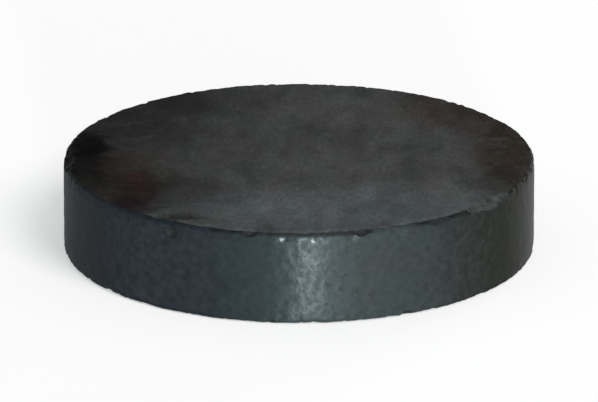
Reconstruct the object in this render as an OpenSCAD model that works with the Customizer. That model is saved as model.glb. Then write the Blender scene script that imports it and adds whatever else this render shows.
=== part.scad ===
// Sintered ferrite disc magnet: one pressed and fired ceramic disc. Both faces
// are ground flat, the rim is left as fired, and the brittle edges carry the
// shell-shaped chips that such discs pick up when they snap together.
// The disc lies on the plane Z = 0 and its axis is Z. Places round the rim are
// angles from the front (-Y) towards the right (+X).

/* [Disc] */
// Diameter over the rim
disc_d = 25; // [16:0.5:60]
// Thickness between the two ground faces
disc_t = 5; // [3:0.5:15]
// Radius of the worn round along both edges
edge_r = 0.2; // [0.05:0.05:0.6]

/* [Nicks] */
// Length of a nick along the edge
nick_w = 0.9; // [0.4:0.1:2]
// Depth of a nick into the edge
nick_depth = 0.16; // [0.05:0.01:0.3]
// Lean of a nick, from the rim (0) towards the face (90)
nick_lean = 40; // [10:5:80]

/* [Flakes] */
// Length of a large flake along the edge
flake_w = 2.4; // [1:0.1:4]
// Depth of a large flake into the edge
flake_depth = 0.32; // [0.1:0.02:0.6]
// Lean of a large flake, from the rim (0) towards the face (90)
flake_lean = 55; // [20:5:80]
// Size of the shells at both ends of a flake, as a share of the middle one
flake_taper = 0.6; // [0.3:0.05:0.9]

/* [Slivers] */
// Length of a sliver broken off along the edge
sliver_w = 2; // [1:0.1:4]
// Depth of a sliver into the edge
sliver_depth = 0.12; // [0.05:0.01:0.3]
// Lean of a sliver, from the rim (0) towards the face (90)
sliver_lean = 25; // [10:5:80]

/* [Rim pit] */
// Width of the pit in the rim
pit_w = 0.7; // [0.4:0.1:2]
// Depth of the pit in the rim
pit_depth = 0.12; // [0.05:0.01:0.4]
// Distance from the upper edge round down to the middle of the pit
pit_drop = 0.35; // [0:0.05:1.5]

/* [Hidden] */
$fn = 180;
ferrite_grey = [0.24, 0.26, 0.27];
rim_r = disc_d / 2;
// angles of the chips round the upper and the lower edge, and of the pit
upper_nicks = [15, -12];
upper_flakes = [54, -88];
upper_slivers = [36];
lower_nicks = [50, 27, -54];
pit_angle = -32;
shell_fn = 64;

// Radius of the ball that leaves a shell of this width and depth
function shell_r(width, depth) = (width * width / 4 + depth * depth) / (2 * depth);

// Half of the disc's section, with a true arc at each edge
module half_section() {
    square([rim_r - edge_r, disc_t]);
    translate([0, edge_r]) square([rim_r, disc_t - 2 * edge_r]);
    for (z = [edge_r, disc_t - edge_r])
        translate([rim_r - edge_r, z]) circle(r = edge_r);
}

// Ball that cuts a shell into the upper edge; drop moves it down the rim
module edge_shell(angle, width, depth, lean, drop = 0) {
    ball_r = shell_r(width, depth);
    reach = edge_r + ball_r - depth;
    rotate([0, 0, angle - 90])
        translate([rim_r - edge_r + reach * cos(lean), 0, disc_t - edge_r - drop + reach * sin(lean)])
            sphere(r = ball_r, $fn = shell_fn);
}

// Large flake: a middle shell with a smaller one running out at each end
module edge_flake(angle) {
    end_angle = flake_w / (2 * rim_r) * 180 / PI;
    edge_shell(angle, flake_w, flake_depth, flake_lean);
    for (side = [-1, 1])
        edge_shell(angle + side * end_angle, flake_w * flake_taper, flake_depth * flake_taper, flake_lean);
}

// All that is broken out of the upper edge and the rim below it
module upper_chips() {
    for (angle = upper_nicks) edge_shell(angle, nick_w, nick_depth, nick_lean);
    for (angle = upper_flakes) edge_flake(angle);
    for (angle = upper_slivers) edge_shell(angle, sliver_w, sliver_depth, sliver_lean);
    edge_shell(pit_angle, pit_w, pit_depth, 0, pit_drop);
}

// Nicks of the lower edge, mirrored over the disc's middle plane
module lower_chips() {
    translate([0, 0, disc_t]) mirror([0, 0, 1])
        for (angle = lower_nicks) edge_shell(angle, nick_w, nick_depth, nick_lean);
}

module magnet_disc() {
    color(ferrite_grey) difference() {
        rotate_extrude() half_section();
        upper_chips();
        lower_chips();
    }
}

magnet_disc();
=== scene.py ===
import math
import random

import bpy
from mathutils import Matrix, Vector


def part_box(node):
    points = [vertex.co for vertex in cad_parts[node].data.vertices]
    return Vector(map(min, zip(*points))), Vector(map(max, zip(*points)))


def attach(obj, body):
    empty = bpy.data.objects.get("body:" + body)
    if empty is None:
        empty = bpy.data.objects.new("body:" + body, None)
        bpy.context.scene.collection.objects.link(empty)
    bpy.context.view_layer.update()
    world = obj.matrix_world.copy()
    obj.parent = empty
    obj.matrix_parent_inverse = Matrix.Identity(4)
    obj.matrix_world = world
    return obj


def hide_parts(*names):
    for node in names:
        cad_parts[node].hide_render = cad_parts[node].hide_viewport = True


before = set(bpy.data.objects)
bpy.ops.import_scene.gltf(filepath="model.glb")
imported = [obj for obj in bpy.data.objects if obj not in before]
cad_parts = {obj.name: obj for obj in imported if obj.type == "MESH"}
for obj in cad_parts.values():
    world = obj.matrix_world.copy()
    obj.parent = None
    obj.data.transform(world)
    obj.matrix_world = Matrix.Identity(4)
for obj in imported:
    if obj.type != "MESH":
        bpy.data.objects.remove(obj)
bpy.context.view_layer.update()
discLow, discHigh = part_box("magnet_disc")
discMiddle = (discLow + discHigh) / 2
discHeight = discHigh.z - discLow.z
rimRadius = (discHigh.x - discLow.x) / 2
mm = 0.001


def pickOnly(piece):
    if bpy.context.object and bpy.context.object.mode != "OBJECT":
        bpy.ops.object.mode_set(mode="OBJECT")
    bpy.ops.object.select_all(action="DESELECT")
    piece.select_set(True)
    bpy.context.view_layer.objects.active = piece


def selectWhere(piece, kind, wanted):
    # leaves the piece in edit mode with only the wanted edges or faces selected
    pickOnly(piece)
    bpy.ops.object.mode_set(mode="EDIT")
    bpy.ops.mesh.select_mode(type=kind)
    bpy.ops.mesh.select_all(action="DESELECT")
    bpy.ops.object.mode_set(mode="OBJECT")
    parts = piece.data.edges if kind == "EDGE" else piece.data.polygons
    for part in parts:
        part.select = wanted(part)
    bpy.ops.object.mode_set(mode="EDIT")


def roughen(piece, name, size, depth, detail, on="", level=0.5, ramp=None):
    # moves the surface along its normals by a cloud texture; it stays where the texture is at the level
    texture = bpy.data.textures.new(name, type="CLOUDS")
    texture.noise_basis = "ORIGINAL_PERLIN"
    texture.noise_scale = size
    texture.noise_depth = detail
    if ramp:
        texture.use_color_ramp = True
        for stop, place, tone in zip(texture.color_ramp.elements, ramp, (0, 1)):
            stop.position = place
            stop.color = (tone, tone, tone, 1)
    pickOnly(piece)
    bpy.ops.object.modifier_add(type="DISPLACE")
    relief = piece.modifiers[-1]
    relief.texture = texture
    relief.texture_coords = "LOCAL"
    relief.strength = depth
    relief.mid_level = level
    relief.vertex_group = on
    bpy.ops.object.modifier_apply(modifier=relief.name)


blank = {
    "steps": 640,               # faces round the rim
    "rimRows": 44,              # rows of faces up the rim
    "edgeRound": 0.2 * mm,      # radius worn onto both edges
    "edgeRows": 6,              # rows of faces round each edge
    "sameHeight": 0.001 * mm,   # points that differ by less in height count as level
    "smoothAngle": 38,          # folds sharper than this many degrees stay crisp
}


def climb(disc, edge):
    # how far an edge rises from one end to the other
    start, end = (disc.data.vertices[corner].co.z for corner in edge.vertices)
    return abs(end - start)


def liesAt(disc, edge, height):
    heights = (disc.data.vertices[corner].co.z for corner in edge.vertices)
    return all(abs(reached - height) < blank["sameHeight"] for reached in heights)


def makeBlank():
    # the pressed disc, with rounded edges and a fine, even mesh on the rim and both flats
    bpy.ops.object.select_all(action="DESELECT")
    bpy.ops.mesh.primitive_cylinder_add(vertices=blank["steps"], radius=rimRadius, depth=discHeight,
                                        location=discMiddle, end_fill_type="NGON")
    disc = bpy.context.object
    disc.name = "magnetDisc"
    bpy.ops.object.transform_apply(location=True, rotation=True, scale=True)

    selectWhere(disc, "EDGE", lambda edge: climb(disc, edge) < blank["sameHeight"])
    bpy.ops.mesh.bevel(offset=blank["edgeRound"], segments=blank["edgeRows"], profile=0.5, affect="EDGES")
    selectWhere(disc, "EDGE", lambda edge: climb(disc, edge) > discHeight / 2)
    bpy.ops.mesh.subdivide(number_cuts=blank["rimRows"] - 1)

    selectWhere(disc, "FACE", lambda face: len(face.vertices) > 4)   # the two round caps
    bpy.ops.mesh.delete(type="ONLY_FACE")
    for height in (discHigh.z, discLow.z):
        selectWhere(disc, "EDGE", lambda edge: liesAt(disc, edge, height))
        bpy.ops.mesh.fill_grid(span=blank["steps"] // 4)   # a grid with four equal sides
    bpy.ops.mesh.select_all(action="SELECT")
    bpy.ops.mesh.normals_make_consistent(inside=False)
    bpy.ops.object.mode_set(mode="OBJECT")
    print("blank pressed:", len(disc.data.polygons), "faces")
    return disc


# wear and grain that stand in the surface itself
skin = {
    "edgeReach": 0.55 * mm,   # how far the wear runs in from an edge
    "edgeGain": 1.8,          # how soon it is at its full depth
    # each relief: where it lies, the width of its features, its depth and its detail; at level 0.5 it rises
    # as much as it sinks, at level 1 it only sinks, and a ramp makes it sink in patches
    "relief": {
        "rimSwell": {"on": "rim", "size": 1.6 * mm, "depth": 0.010 * mm, "detail": 1},
        "rimFlakes": {"on": "rim", "size": 0.55 * mm, "depth": 0.030 * mm, "detail": 1},
        "groundFlats": {"on": "flats", "size": 0.7 * mm, "depth": 0.010 * mm, "detail": 3, "level": 0.8},
        "edgeRounding": {"on": "edges", "size": 1.1 * mm, "depth": 0.055 * mm, "detail": 2, "level": 1,
                         "ramp": (0.25, 0.75)},
        "edgeCrumbs": {"on": "edges", "size": 0.30 * mm, "depth": 0.045 * mm, "detail": 1, "level": 1,
                       "ramp": (0.34, 0.44)},
    },
}


def edgeDistance(point):
    # distance from the sharp corner that the upper or lower edge would have
    inward = rimRadius - math.hypot(point.x, point.y)
    along = min(point.z - discLow.z, discHigh.z - point.z)
    return math.hypot(inward, along)


def onFlat(point):
    return math.hypot(point.x, point.y) <= rimRadius - blank["edgeRound"]


def weighSkin(disc):
    # marks the rim, the flats and the stretches near both edges as vertex groups
    edges = disc.vertex_groups.new(name="edges")
    rim = disc.vertex_groups.new(name="rim")
    flats = disc.vertex_groups.new(name="flats")
    for point in disc.data.vertices:
        nearEdge = 1 - edgeDistance(point.co) / skin["edgeReach"]
        if nearEdge > 0:
            edges.add([point.index], min(1.0, skin["edgeGain"] * nearEdge), "REPLACE")
        zone = flats if onFlat(point.co) else rim
        zone.add([point.index], 1.0, "REPLACE")


def wearSkin(disc):
    weighSkin(disc)
    for name, relief in skin["relief"].items():
        roughen(disc, name, **relief)
    print("skin worn:", ", ".join(skin["relief"]))


chips = {
    # length, depth and drop down the rim in mm, lean from the rim (0) to the face (90) in degrees
    "kinds": {
        "nick": {"length": 0.9, "depth": 0.16, "lean": 40, "drop": 0},
        "flake": {"length": 2.4, "depth": 0.32, "lean": 55, "drop": 0},
        "sliver": {"length": 2.0, "depth": 0.12, "lean": 25, "drop": 0},
        "pit": {"length": 0.7, "depth": 0.12, "lean": 0, "drop": 0.35},
    },
    # kind, edge, and angles from the front towards the right in degrees
    "places": [
        ("nick", "upper", (15, -12)),
        ("flake", "upper", (54, -88)),
        ("nick", "lower", (50, 27, -54)),
        ("sliver", "upper", (36,)),
        ("pit", "upper", (-32,)),
    ],
    "flakeTaper": 0.6,            # size of the shells at both ends of a flake, as a share of the middle one
    "seed": 11,                   # another seed scatters the strays anew
    "strays": 36,                 # small nicks scattered round both edges
    "strayLength": (0.25, 0.75),  # shortest and longest, in mm
    "strayDepth": (0.035, 0.10),  # shallowest and deepest of the longest ones, in mm
    "strayLean": (15, 75),        # from the rim towards the face, in degrees
    "ripple": 0.5,                # ripple of a chip's floor, as a share of its depth
    "rippleWidth": 0.28,          # width of the ripples, as a share of the chip's length
    "longChip": 1.2,              # chips longer than this many mm are cut by a finer ball
    "ballSteps": {"short": 4, "long": 5},
    "clearance": 1.05,            # room that a ball needs in its round, as a share of its radius
    "sliverEdge": 0.0005 * mm,    # edges shorter than this are melted away after the cuts
}


def addShell(angle, edge, length, depth, lean, drop):
    # a ball that reaches this deep into the edge and leaves a shell this long
    steps = chips["ballSteps"]["long" if length > chips["longChip"] else "short"]
    length, depth, drop = length * mm, depth * mm, drop * mm
    ballRadius = (length * length / 4 + depth * depth) / (2 * depth)
    reach = blank["edgeRound"] + ballRadius - depth
    out = rimRadius - blank["edgeRound"] + reach * math.cos(math.radians(lean))
    up = discHeight - blank["edgeRound"] - drop + reach * math.sin(math.radians(lean))
    height = discLow.z + up if edge == "upper" else discHigh.z - up
    turn = math.radians(angle - 90)
    place = Vector((out * math.cos(turn), out * math.sin(turn), height))
    bpy.ops.object.select_all(action="DESELECT")
    bpy.ops.mesh.primitive_ico_sphere_add(subdivisions=steps, radius=ballRadius, location=place)
    ball = bpy.context.object
    bpy.ops.object.transform_apply(location=True, rotation=True, scale=True)
    roughen(ball, "shellRipple", length * chips["rippleWidth"], depth * chips["ripple"], detail=2)
    return ball, place, ballRadius * chips["clearance"]


def flakeEnds(angle, edge, flake):
    # smaller shells in which a flake runs out at both ends
    spread = math.degrees(flake["length"] * mm / (2 * rimRadius))
    length, depth = (flake[size] * chips["flakeTaper"] for size in ("length", "depth"))
    return [addShell(angle + side * spread, edge, length, depth, flake["lean"], flake["drop"])
            for side in (-1, 1)]


def placedShells():
    shells = []
    for kind, edge, angles in chips["places"]:
        chip = chips["kinds"][kind]
        for angle in angles:
            shells.append(addShell(angle, edge, **chip))
            if kind == "flake":
                shells += flakeEnds(angle, edge, chip)
    return shells


def strayShells():
    dice = random.Random(chips["seed"])
    longest = chips["strayLength"][1]
    shells = []
    for _ in range(chips["strays"]):
        angle = dice.uniform(-180, 180)
        edge = dice.choice(("upper", "lower"))
        length = dice.uniform(*chips["strayLength"])
        depth = dice.uniform(*chips["strayDepth"]) * length / longest
        lean = dice.uniform(*chips["strayLean"])
        shells.append(addShell(angle, edge, length, depth, lean, drop=0))
    return shells


def sortApart(shells):
    # shares the balls out over rounds in which none of them meets another
    rounds = []
    for ball, place, reach in shells:
        for others in rounds:
            if all((place - otherPlace).length > reach + otherReach for _, otherPlace, otherReach in others):
                others.append((ball, place, reach))
                break
        else:
            rounds.append([(ball, place, reach)])
    return [[ball for ball, _, _ in others] for others in rounds]


def cutAway(disc, balls, brokenSurface):
    bpy.ops.object.select_all(action="DESELECT")
    for ball in balls:
        ball.select_set(True)
    bpy.context.view_layer.objects.active = balls[0]
    if len(balls) > 1:
        bpy.ops.object.join()
    cutters = bpy.context.object
    cutters.data.materials.clear()
    cutters.data.materials.append(brokenSurface)
    pickOnly(disc)
    bpy.ops.object.modifier_add(type="BOOLEAN")
    cut = disc.modifiers[-1]
    cut.operation = "DIFFERENCE"
    cut.solver = "MANIFOLD"
    cut.material_mode = "TRANSFER"   # a chip's floor takes the balls' finish
    cut.object = cutters
    bpy.ops.object.modifier_apply(modifier=cut.name)
    bpy.data.objects.remove(cutters)


def breakChips(disc, brokenSurface):
    # shells are broken out of the edges by balls with a rippled skin
    shells = placedShells() + strayShells()
    rounds = sortApart(shells)
    for balls in rounds:
        cutAway(disc, balls, brokenSurface)
    pickOnly(disc)
    bpy.ops.object.mode_set(mode="EDIT")
    bpy.ops.mesh.select_all(action="SELECT")
    bpy.ops.mesh.dissolve_degenerate(threshold=chips["sliverEdge"])
    bpy.ops.object.mode_set(mode="OBJECT")
    print("chips broken out:", len(shells), "shells in", len(rounds), "rounds")


def newFinish(name, sockets):
    # a new material, with these values on its shader
    finish = bpy.data.materials.new(name)
    finish.use_nodes = True
    surface = finish.node_tree.nodes["Principled BSDF"]
    for socket, value in sockets.items():
        surface.inputs[socket].default_value = value
    return finish, surface


def feed(finish, socket, value):
    # gives a socket a link, a colour or a plain value
    if isinstance(value, bpy.types.NodeSocket):
        finish.node_tree.links.new(value, socket)
    elif socket.type == "RGBA":
        socket.default_value = (*value, 1)
    else:
        socket.default_value = value


def addNode(finish, kind, inputs, **settings):
    # the inputs go by their name or number, and the settings are the node's own
    node = finish.node_tree.nodes.new("ShaderNode" + kind)
    for setting, value in settings.items():
        setattr(node, setting, value)
    for socket, value in inputs.items():
        feed(finish, node.inputs[socket], value)
    return node


def numberMath(finish, operation, first, second):
    return addNode(finish, "Math", {0: first, 1: second}, operation=operation).outputs[0]


def productOn(finish, first, *others):
    # the product of two or more values
    for other in others:
        first = numberMath(finish, "MULTIPLY", first, other)
    return first


def vectorMath(finish, operation, *values):
    node = addNode(finish, "VectorMath", dict(enumerate(values)), operation=operation)
    return node.outputs["Value" if operation == "LENGTH" else "Vector"]


def placeOn(finish):
    # where a point of the disc lies, in millimetres
    coords = addNode(finish, "TexCoord", {})
    toMm = {"Vector": coords.outputs["Object"], "Scale": (1 / mm,) * 3}
    return addNode(finish, "Mapping", toMm).outputs["Vector"]


def noiseOn(finish, place, size, detail=3, rough=0.5, twist=0, output="Fac"):
    # size is the width of the pattern's features in millimetres
    pattern = {"Vector": place, "Scale": 1 / size, "Detail": detail, "Roughness": rough, "Distortion": twist}
    return addNode(finish, "TexNoise", pattern).outputs[output]


def rampOn(finish, value, stops):
    # each stop is a place from 0 to 1 and a tone or a colour
    ramp = addNode(finish, "ValToRGB", {"Fac": value})
    colours = ramp.color_ramp
    while len(colours.elements) < len(stops):
        colours.elements.new(0.5)
    for element, (place, colour) in zip(colours.elements, stops):
        element.position = place
        element.color = (*colour, 1) if isinstance(colour, tuple) else (colour, colour, colour, 1)
    return ramp.outputs["Color"]


def patternOn(finish, place, stops, **noise):
    return rampOn(finish, noiseOn(finish, place, **noise), stops)


def rangeOn(finish, value, low, high, fromLow=0, fromHigh=1, shape="LINEAR"):
    spread = {"Value": value, "From Min": fromLow, "From Max": fromHigh, "To Min": low, "To Max": high}
    return addNode(finish, "MapRange", spread, interpolation_type=shape).outputs["Result"]


def mixColours(finish, share, first, second, blend="MIX"):
    mix = addNode(finish, "Mix", {}, data_type="RGBA", blend_type=blend)
    sockets = [socket for socket in mix.inputs if socket.enabled]
    for socket, value in zip(sockets, (share, first, second)):
        feed(finish, socket, value)
    return next(socket for socket in mix.outputs if socket.enabled)


def shadeBy(finish, colour, tone, share=1.0):
    return mixColours(finish, share, colour, tone, "MULTIPLY")


def bumpOn(finish, height, depth, under=None):
    relief = {"Distance": depth, "Height": height}
    if under:
        relief["Normal"] = under
    return addNode(finish, "Bump", relief).outputs["Normal"]


def drawOut(finish, place, share):
    # draws a pattern out from front to back, as grinding does
    return vectorMath(finish, "MULTIPLY", place, (1, share, 1))


def warpOn(finish, place, size, reach):
    # pushes a place about by up to half the reach in millimetres, so that patches get ragged outlines
    push = noiseOn(finish, place, size, detail=4, rough=0.6, output="Color")
    back = vectorMath(finish, "ADD", place, (-reach / 2,) * 3)
    return vectorMath(finish, "MULTIPLY_ADD", push, (reach,) * 3, back)


def patchOn(finish, place, centre, reach, soft=0.6):
    # 1 inside an ellipse seen from above, falling softly to 0 outside it; centre and reach in millimetres
    shift = vectorMath(finish, "SUBTRACT", place, (*centre, 0))
    squeeze = vectorMath(finish, "MULTIPLY", shift, (1 / reach[0], 1 / reach[1], 0))
    away = vectorMath(finish, "LENGTH", squeeze)
    return rangeOn(finish, away, 1, 0, 1 - soft, 1 + soft, shape="SMOOTHSTEP")


def heightOn(finish, place):
    return addNode(finish, "SeparateXYZ", {"Vector": place}).outputs["Z"]


def radiusOn(finish, place):
    return vectorMath(finish, "LENGTH", vectorMath(finish, "MULTIPLY", place, (1, 1, 0)))


def halfOn(finish, place, flat):
    # 1 on the half of the disc with this flat and 0 on the other half, with a soft change between them
    middle, blend = discMiddle.z / mm, discHeight / 10 / mm
    ends = (0, 1) if flat == "upper" else (1, 0)
    return rangeOn(finish, heightOn(finish, place), *ends, middle - blend, middle + blend)


# In the patterns below the size is the width of the features in mm, and each stop is a place from 0 to 1
# with a tone or a colour. Centres and reaches are in mm, seen from above.

# lets the hue drift a little between reddish and greenish grey
hueDrift = {"detail": 3, "rough": 0.5, "stops": ((0.4, (1.05, 0.98, 1.01)), (0.5, (1.0, 1.0, 1.0)),
                                                 (0.6, (0.97, 1.02, 1.0)))}
# painted shade along the upper edge in a thin broken line, standing in for the shadow and dark reflection in
# the edge
paintedEdgeShade = {
    "colour": (0.0030, 0.0035, 0.0035),
    "strength": 0.9,
    "inward": (0.26, 0.12),   # how far in from the rim the line fades out, and from where it is full, in mm
    "down": (0.24, 0.10),     # the same down from the face
    "ragged": (0.5, 0.6),     # width and reach of what makes its ends ragged, in mm
    "soft": 0.3,              # softness of its ends, as a share of their reach
    # centre and reach
    "places": [
        ((3.2, -12.1), (0.8, 0.8)),
        ((7.3, -10.1), (1.5, 1.1)),
        ((1.0, -12.5), (2.6, 1.0)),
        ((-3.2, -12.1), (2.0, 0.9)),
        ((-6.0, 11.0), (1.8, 1.4)),
    ],
}


def edgeShadeOn(finish, place, colour):
    # paints a thin broken line of shade along the upper edge, on the rim and on the flat
    edge, top = rimRadius / mm, discHigh.z / mm
    outer = rangeOn(finish, radiusOn(finish, place), 0, 1, *(edge - inward for inward in paintedEdgeShade["inward"]))
    upper = rangeOn(finish, heightOn(finish, place), 0, 1, *(top - down for down in paintedEdgeShade["down"]))
    line = productOn(finish, outer, upper)
    ragged = warpOn(finish, place, *paintedEdgeShade["ragged"])
    for centre, reach in paintedEdgeShade["places"]:
        patch = patchOn(finish, ragged, centre, reach, paintedEdgeShade["soft"])
        share = productOn(finish, patch, line, paintedEdgeShade["strength"])
        colour = mixColours(finish, share, colour, paintedEdgeShade["colour"])
    return colour


rimFinish = {
    "sockets": {"Specular IOR Level": 0.33, "Anisotropic": 0.85, "Anisotropic Rotation": 0.25},
    "clouds": {"size": 2.6, "detail": 5, "rough": 0.6, "twist": 0.4,
               "stops": ((0.3, (0.0105, 0.0148, 0.0163)), (0.5, (0.0148, 0.0198, 0.0213)),
                         (0.72, (0.0200, 0.0258, 0.0268)))},
    "tints": {
        "blueAndCoolShade": (0.0105, 0.0155, 0.0205),
        "paintedShade": (0.0040, 0.0080, 0.0125),
        "paintedLight": (0.0250, 0.0290, 0.0280),
        "olive": (0.0108, 0.0110, 0.0076),
        "paintedWarmShade": (0.0058, 0.0068, 0.0042),
        "paintedHighlightTint": (0.0150, 0.0260, 0.0285),
    },
    # tint, centre, reach and strength; on the front of the rim some marks are painted light and shade: shade
    # at the left end, cool shade at the front left, warm shade at the right end, light beside the highlight
    # and the highlight's cool tint
    "marks": [
        ("blueAndCoolShade", (-9.5, -8.0), (6.5, 6.0), 0.65),
        ("paintedShade", (-9.0, -8.0), (6.5, 7.0), 0.70),
        ("paintedShade", (-12.4, -2.0), (2.4, 4.0), 0.90),
        ("paintedHighlightTint", (2.2, -12.3), (4.6, 3.6), 0.75),
        ("paintedLight", (5.1, -11.4), (2.4, 3.0), 0.42),
        ("paintedWarmShade", (11.4, -5.4), (4.2, 5.6), 0.95),
        ("blueAndCoolShade", (3.0, 12.2), (5.0, 4.0), 0.50),
        ("olive", (-8.5, 9.5), (3.5, 4.0), 0.60),
    ],
    "ragged": (1.4, 2.2),              # width and reach of what makes the marks ragged, in mm
    "specks": {"size": 0.3, "stops": ((0.35, 0.82), (0.65, 1.13))},
    "driftSize": 1.8,
    "glints": {"size": 0.40, "detail": 1},   # the shiny spots
    "glintStops": ((0.35, 0.0), (0.70, 1.0)),
    "glintDepth": 0.012 * mm,
    "grain": {"size": 0.15, "detail": 2, "rough": 0.6},
    "grainDepth": 0.005 * mm,
    "roughness": (0.52, 0.24),         # between the glints and on them
    "matteRoughness": 0.80,
    # stretches that fired matte: centre and reach
    "matte": [
        ((-13.5, -2.5), (5.5, 9.0)),
        ((13.0, -2.0), (4.2, 8.0)),
        ((1.0, 13.0), (8.0, 3.5)),
    ],
    "matteSoft": 0.7,
    "worn": (0.30, 0.14),              # how far from an edge the matte wear starts and is full, in mm
}


def wornEdge(finish, place):
    # 1 along both edges of the rim, falling to 0 a little way in from them
    height = heightOn(finish, place)
    start, full = rimFinish["worn"]
    top, base = discHigh.z / mm, discLow.z / mm
    upper = rangeOn(finish, height, 0, 1, top - start, top - full)
    lower = rangeOn(finish, height, 1, 0, base + full, base + start)
    return numberMath(finish, "ADD", upper, lower)


def rimColour(finish, place, ragged):
    colour = patternOn(finish, place, **rimFinish["clouds"])
    # some of these marks paint light and shade onto the front of the rim
    for tint, centre, reach, strength in rimFinish["marks"]:
        share = productOn(finish, patchOn(finish, ragged, centre, reach), strength)
        colour = mixColours(finish, share, colour, rimFinish["tints"][tint])
    colour = shadeBy(finish, colour, patternOn(finish, place, **rimFinish["specks"]))
    colour = shadeBy(finish, colour, patternOn(finish, place, size=rimFinish["driftSize"], **hueDrift))
    # the painted edge shade goes over the rim's colour
    return edgeShadeOn(finish, place, colour)


def firedRim():
    finish, surface = newFinish("firedRim", rimFinish["sockets"])
    place = placeOn(finish)
    ragged = warpOn(finish, place, *rimFinish["ragged"])
    feed(finish, surface.inputs["Base Color"], rimColour(finish, place, ragged))

    glints = noiseOn(finish, place, **rimFinish["glints"])
    shine = rampOn(finish, glints, rimFinish["glintStops"])
    gloss = rangeOn(finish, shine, *rimFinish["roughness"])
    matte = (rimFinish["matteRoughness"],) * 3
    for centre, reach in rimFinish["matte"]:
        share = patchOn(finish, ragged, centre, reach, rimFinish["matteSoft"])
        gloss = mixColours(finish, share, gloss, matte)
    gloss = mixColours(finish, wornEdge(finish, place), gloss, matte)
    feed(finish, surface.inputs["Roughness"], gloss)

    grain = noiseOn(finish, place, **rimFinish["grain"])
    relief = bumpOn(finish, grain, rimFinish["grainDepth"])
    relief = bumpOn(finish, glints, rimFinish["glintDepth"], relief)
    feed(finish, surface.inputs["Normal"], relief)
    around = addNode(finish, "Tangent", {}, direction_type="RADIAL", axis="Z")   # the sheen follows the rim
    feed(finish, surface.inputs["Tangent"], around.outputs["Tangent"])
    return finish


faceFinish = {
    "sockets": {"Specular IOR Level": 0.06},
    "clouds": {"size": 2.2, "detail": 6, "rough": 0.6, "twist": 0.3},
    "cloudDraw": 0.45,                 # the smaller, the further grinding draws the clouds out
    "cloudStops": ((0.36, (0.051, 0.0512, 0.0508)), (0.5, (0.066, 0.0672, 0.0670)),
                   (0.64, (0.081, 0.0832, 0.0830))),
    "roughness": (0.75, 0.92),         # in the dark clouds and in the light ones
    "cloudRange": (0.3, 0.7),          # what counts as dark and light there
    "tints": {
        "edgeBlue": (0.112, 0.125, 0.129),
        # the next tone serves both as grime and as painted shade on the left of the upper flat; the near
        # black after it is painted shade at the left tip
        "dirtAndShade": (0.021, 0.0200, 0.0185),
        "tip": (0.003, 0.0030, 0.0025),
        "rust": (0.037, 0.0183, 0.0168),
        "wine": (0.016, 0.0090, 0.0100),
        "brown": (0.032, 0.0225, 0.0165),
    },
    # what use has left on the flats, and painted shade on the left of the upper flat, darkest at its left
    # tip: tint, flat, centre, reach and strength
    "marks": [
        ("edgeBlue", "upper", (2.0, -8.6), (9.0, 3.6), 0.85),
        ("dirtAndShade", "upper", (-9.2, 6.4), (3.8, 5.0), 0.85),
        ("brown", "upper", (11.2, 1.5), (1.9, 7.5), 0.95),
        ("brown", "upper", (8.0, 8.0), (2.6, 3.0), 0.80),
        ("brown", "upper", (-9.6, -3.4), (2.8, 4.2), 0.85),
        ("rust", "upper", (-8.5, -5.6), (1.0, 3.1), 1.00),
        ("wine", "upper", (-9.0, -8.2), (1.5, 1.5), 1.00),
        ("dirtAndShade", "upper", (-11.7, -2.0), (1.2, 3.4), 0.90),
        ("tip", "upper", (-11.5, 1.8), (1.2, 2.2), 1.00),
        ("tip", "upper", (-11.3, 2.0), (1.0, 1.6), 1.00),
        ("dirtAndShade", "upper", (-6.3, -9.9), (1.2, 0.8), 0.85),
        ("edgeBlue", "lower", (-3.0, 8.0), (7.0, 3.5), 0.70),
        ("dirtAndShade", "lower", (9.5, 4.5), (3.0, 5.0), 0.80),
        ("brown", "lower", (-10.5, -3.0), (2.2, 5.5), 0.85),
        ("rust", "lower", (4.5, -9.0), (2.4, 1.4), 0.60),
    ],
    "ragged": (1.6, 3.0),              # width and reach of what makes the marks ragged, in mm
    # lets the ground grain show through the marks
    "breakUp": {"size": 0.9, "detail": 4, "rough": 0.6, "stops": ((0.32, 0.6), (0.55, 1.0))},
    # painted light and shade on the upper flat, lighter to the right and darker to the left: centre, reach
    # and change in tone
    "paintedLightAndShade": [
        ((5.0, -1.5), (5.5, 5.0), 1.13),
        ((6.9, -5.4), (3.2, 2.8), 1.28),
        ((10.3, -4.2), (1.7, 2.4), 0.78),
        ((5.6, -7.2), (2.0, 2.2), 0.76),
        ((-0.2, -8.4), (2.0, 1.8), 1.14),
        ((2.4, 7.4), (3.6, 2.4), 1.27),
        ((6.3, 7.0), (1.5, 2.2), 1.22),
        ((-8.6, 2.0), (4.2, 9.0), 0.84),
        ((-5.0, 9.8), (3.2, 2.2), 0.55),
        ((-6.3, -5.9), (3.4, 2.2), 0.62),
        ((-11.5, -0.8), (1.5, 3.2), 0.36),
        ((-10.4, -4.6), (1.2, 2.4), 0.58),
    ],
    "grainDraw": 0.4,                  # the same for the grain
    "blots": {"size": 0.9, "stops": ((0.35, 0.88), (0.65, 1.11))},
    "specks": {"size": 0.2, "rough": 0.6, "stops": ((0.3, 0.8), (0.7, 1.18))},
    "driftSize": 1.6,
    "grain": {"size": 0.2, "rough": 0.6},
    "grainDepth": 0.02 * mm,
    "matteTip": ((-11.2, 0.6), (2.4, 4.0)),   # the stretch painted darkest with shade, at the left tip, which is quite matte
}


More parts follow.
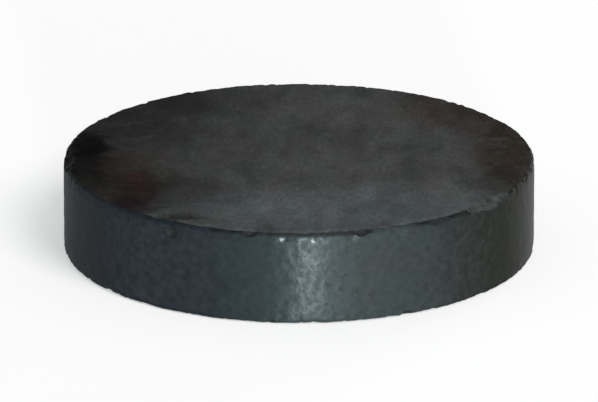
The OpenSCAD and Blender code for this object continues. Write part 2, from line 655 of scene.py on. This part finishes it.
def faceColour(finish, place, ragged, clouds, drawn):
    colour = rampOn(finish, clouds, faceFinish["cloudStops"])
    breakUp = patternOn(finish, place, **faceFinish["breakUp"])
    halves = {flat: halfOn(finish, place, flat) for flat in ("upper", "lower")}
    for tint, flat, centre, reach, strength in faceFinish["marks"]:
        share = productOn(finish, patchOn(finish, ragged, centre, reach), strength, breakUp, halves[flat])
        colour = mixColours(finish, share, colour, faceFinish["tints"][tint])
    # painted light and shade over the upper flat
    for centre, reach, change in faceFinish["paintedLightAndShade"]:
        share = productOn(finish, patchOn(finish, ragged, centre, reach), halves["upper"])
        colour = shadeBy(finish, colour, (change,) * 3, share)
    for pattern in ("blots", "specks"):
        colour = shadeBy(finish, colour, patternOn(finish, drawn, **faceFinish[pattern]))
    colour = shadeBy(finish, colour, patternOn(finish, drawn, size=faceFinish["driftSize"], **hueDrift))
    # the painted edge shade goes over the flat's colour
    return edgeShadeOn(finish, place, colour)


def groundFace():
    finish, surface = newFinish("groundFace", faceFinish["sockets"])
    place = placeOn(finish)
    ragged = warpOn(finish, place, *faceFinish["ragged"])
    clouds = noiseOn(finish, drawOut(finish, place, faceFinish["cloudDraw"]), **faceFinish["clouds"])
    drawn = drawOut(finish, place, faceFinish["grainDraw"])
    feed(finish, surface.inputs["Base Color"], faceColour(finish, place, ragged, clouds, drawn))

    gloss = rangeOn(finish, clouds, *faceFinish["roughness"], *faceFinish["cloudRange"])
    tip = productOn(finish, patchOn(finish, ragged, *faceFinish["matteTip"]), halfOn(finish, place, "upper"))
    feed(finish, surface.inputs["Roughness"], mixColours(finish, tip, gloss, (1.0, 1.0, 1.0)))

    grain = noiseOn(finish, drawn, **faceFinish["grain"])
    feed(finish, surface.inputs["Normal"], bumpOn(finish, grain, faceFinish["grainDepth"]))
    return finish


brokenFinish = {
    "sockets": {"Specular IOR Level": 0.22, "Roughness": 0.65},
    "old": {"size": 0.2, "stops": ((0.3, (0.0040, 0.0048, 0.0052)), (0.7, (0.0120, 0.0138, 0.0142)))},
    # one flake on the right front is paler than the rest, and the flake at the left end is painted near
    # black as shade
    "paleFlake": {"size": 0.35, "detail": 4,
              "stops": ((0.38, (0.020, 0.0205, 0.0205)), (0.6, (0.047, 0.0480, 0.0480)))},
    "paleFlakePatch": {"centre": (10.1, -7.3), "reach": (2.0, 2.0), "soft": 0.5},
    "paintedFlakeShade": (0.0025, 0.0028, 0.0028),
    "paintedFlakeShadePatch": {"centre": (-12.4, -0.4), "reach": (1.6, 3.4), "soft": 0.4},
    "ragged": (0.5, 1.0),
    "grain": {"size": 0.12},
    "grainDepth": 0.03 * mm,
}


def brokenFerrite():
    finish, surface = newFinish("brokenFerrite", brokenFinish["sockets"])
    place = placeOn(finish)
    ragged = warpOn(finish, place, *brokenFinish["ragged"])
    upper = halfOn(finish, place, "upper")
    colour = patternOn(finish, place, **brokenFinish["old"])
    paleFlake = patternOn(finish, place, **brokenFinish["paleFlake"])
    # the paler flake, then painted shade on the flake at the left end
    for patch, tone in (("paleFlakePatch", paleFlake), ("paintedFlakeShadePatch", brokenFinish["paintedFlakeShade"])):
        share = productOn(finish, patchOn(finish, ragged, **brokenFinish[patch]), upper)
        colour = mixColours(finish, share, colour, tone)
    feed(finish, surface.inputs["Base Color"], colour)
    grain = noiseOn(finish, place, **brokenFinish["grain"])
    feed(finish, surface.inputs["Normal"], bumpOn(finish, grain, brokenFinish["grainDepth"]))
    return finish


def spreadFinishes(disc):
    # the flats are ground, and the rim and both rounded edges are left as fired
    for finish in (groundFace(), firedRim()):
        disc.data.materials.append(finish)
    for face in disc.data.polygons:
        face.material_index = 0 if onFlat(face.center) else 1
    print("finishes spread:", ", ".join(finish.name for finish in disc.data.materials))


studio = {
    "elevation": 19.0,        # degrees above the disc's face
    "distance": 22.6,         # in disc diameters
    "frameWidth": 31.8 * mm,  # what the picture takes in from side to side, at the disc
    "sensorWidth": 36.0,      # in mm
    "clip": (0.01, 10),       # nearest and furthest that the camera sees, in metres
}


def placeCamera():
    away = studio["distance"] * 2 * rimRadius
    tilt = math.radians(studio["elevation"])
    place = discMiddle + Vector((0, -math.cos(tilt), math.sin(tilt))) * away
    bpy.ops.object.camera_add(location=place, rotation=(math.pi / 2 - tilt, 0, 0))
    camera = bpy.context.object
    camera.data.sensor_width = studio["sensorWidth"]
    camera.data.lens = studio["sensorWidth"] * away / studio["frameWidth"]
    camera.data.clip_start, camera.data.clip_end = studio["clip"]
    bpy.context.scene.camera = camera


lampDistance = 1.5   # metres
# azimuth from the front towards the right and elevation in degrees, width and height in metres, and the
# level to which the lamp alone lights a white surface that faces it
lamps = [
    {"name": "bandStrip", "azimuth": 5, "elevation": 2.3, "width": 0.12, "height": 0.10,
     "level": 0.92, "colour": (0.82, 0.98, 1.00)},
    {"name": "nearSide", "azimuth": 20, "elevation": 3.2, "width": 0.33, "height": 0.14,
     "level": 0.17, "colour": (0.90, 0.98, 1.00)},
    {"name": "farSide", "azimuth": 42, "elevation": 3.2, "width": 0.53, "height": 0.14,
     "level": 0.05, "colour": (1.00, 0.98, 0.90)},
    {"name": "backFill", "azimuth": 150, "elevation": 12, "width": 0.60, "height": 0.40,
     "level": 0.14, "colour": (0.98, 0.99, 1.00)},
]
# here the level is that to which the sun alone lights a white floor
keySun = {"azimuth": 32, "elevation": 42, "spread": 30, "level": 0.31, "colour": (1.0, 0.975, 0.94)}


def towards(azimuth, elevation):
    turn, tilt = math.radians(azimuth), math.radians(elevation)
    return Vector((math.sin(turn) * math.cos(tilt), -math.cos(turn) * math.cos(tilt), math.sin(tilt)))


def hangLight(kind, name, place, toLight, energy, colour):
    bpy.ops.object.light_add(type=kind, location=place)
    light = bpy.context.object
    light.name = name
    light.rotation_euler = toLight.to_track_quat("Z", "Y").to_euler()
    light.data.energy = energy
    light.data.color = colour
    return light


def hangLamp(name, azimuth, elevation, width, height, level, colour):
    toLamp = towards(azimuth, elevation)
    energy = level * math.pi ** 2 * lampDistance ** 2
    lamp = hangLight("AREA", name, discMiddle + toLamp * lampDistance, toLamp, energy, colour)
    lamp.data.shape = "RECTANGLE"
    lamp.data.size = width
    lamp.data.size_y = height
    lamp.visible_camera = False


def hangKey():
    toSun = towards(keySun["azimuth"], keySun["elevation"])
    energy = keySun["level"] * math.pi / toSun.z
    sun = hangLight("SUN", "keySun", discMiddle + toSun * lampDistance, toSun, energy, keySun["colour"])
    sun.data.angle = math.radians(keySun["spread"])


room = {
    "fillColour": (0.93, 0.98, 1.0),
    "fill": 0.25,           # level of the soft light from all round
    "floorWhite": 0.88,
    "floorLift": 0.45,      # what the floor adds where it is looked at, so that it meets the white room
    "floorSize": 6.0,
    "floorGap": 0.01 * mm,  # keeps the floor clear of the disc's lower face
}


def seenDirectly(finish):
    # 1 where a camera, glossy or transmission ray looks, 0 for the light that falls on things
    path = addNode(finish, "LightPath", {})
    seen = numberMath(finish, "MAXIMUM", path.outputs["Is Camera Ray"], path.outputs["Is Glossy Ray"])
    return numberMath(finish, "MAXIMUM", seen, path.outputs["Is Transmission Ray"])


def paleFloor():
    white = room["floorWhite"]
    finish, surface = newFinish("paleFloor", {"Base Color": (white, white, white, 1), "Roughness": 1.0,
                                              "Specular IOR Level": 0.0, "Emission Color": (1, 1, 1, 1)})
    lift = productOn(finish, seenDirectly(finish), room["floorLift"])
    feed(finish, surface.inputs["Emission Strength"], lift)
    return finish


def buildRoom():
    world = bpy.data.worlds.new("softRoom")
    bpy.context.scene.world = world
    world.use_nodes = True
    backdrop = world.node_tree.nodes["Background"]
    backdrop.inputs["Color"].default_value = (*room["fillColour"], 1)
    backdrop.inputs["Strength"].default_value = room["fill"]

    bpy.ops.object.select_all(action="DESELECT")
    bpy.ops.mesh.primitive_plane_add(size=room["floorSize"], location=(0, 0, discLow.z - room["floorGap"]))
    floor = bpy.context.object
    floor.name = "floor"
    bpy.ops.object.transform_apply(location=True, rotation=True, scale=True)
    floor.data.materials.append(paleFloor())


placeCamera()
for lamp in lamps:
    hangLamp(**lamp)
hangKey()
buildRoom()
bpy.context.scene.view_settings.view_transform = "Standard"
print("room, lamps and camera ready")

magnetDisc = makeBlank()
wearSkin(magnetDisc)
spreadFinishes(magnetDisc)
breakChips(magnetDisc, brokenFerrite())
pickOnly(magnetDisc)
bpy.ops.object.shade_smooth_by_angle(angle=math.radians(blank["smoothAngle"]))

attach(magnetDisc, "root")
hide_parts("magnet_disc")
print("triangles:", sum(len(face.vertices) - 2 for face in magnetDisc.data.polygons))
